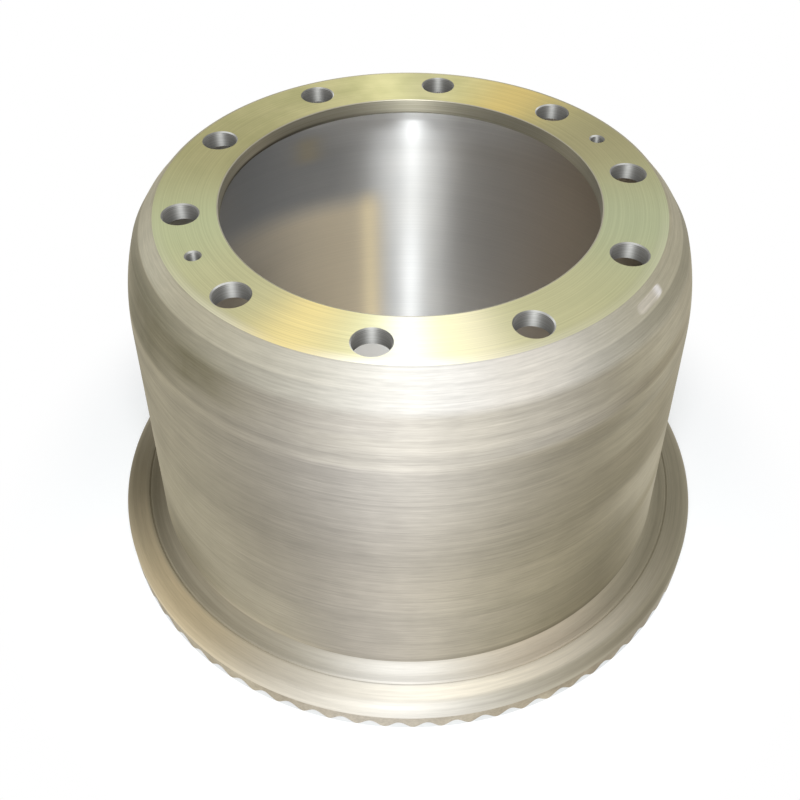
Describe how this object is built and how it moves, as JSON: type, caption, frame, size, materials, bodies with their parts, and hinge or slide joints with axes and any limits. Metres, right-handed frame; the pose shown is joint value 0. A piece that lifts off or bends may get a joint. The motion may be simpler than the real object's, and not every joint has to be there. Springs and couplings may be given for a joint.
{
  "type": "brake drum",
  "caption": "Deep cup-shaped brake drum: bored mounting web with stud holes, turned shoulder, straight wall with the brake track inside, and a flange with a scalloped edge at the open end.",
  "frame": {"origin": "centre of the open end, on the plane that the scalloped rim stands on", "axes": "+Z along the drum's axis, from the open end to the wheel mounting face; +X through one stud hole"},
  "size_m": [0.5205, 0.5204, 0.314],
  "materials": {
    "drum_iron": "turned bare iron under a thin clear oil, with fine circular tool marks"
  },
  "bodies": {
    "root": {"brake_drum": "drum_iron"}
  },
  "joints": []
}
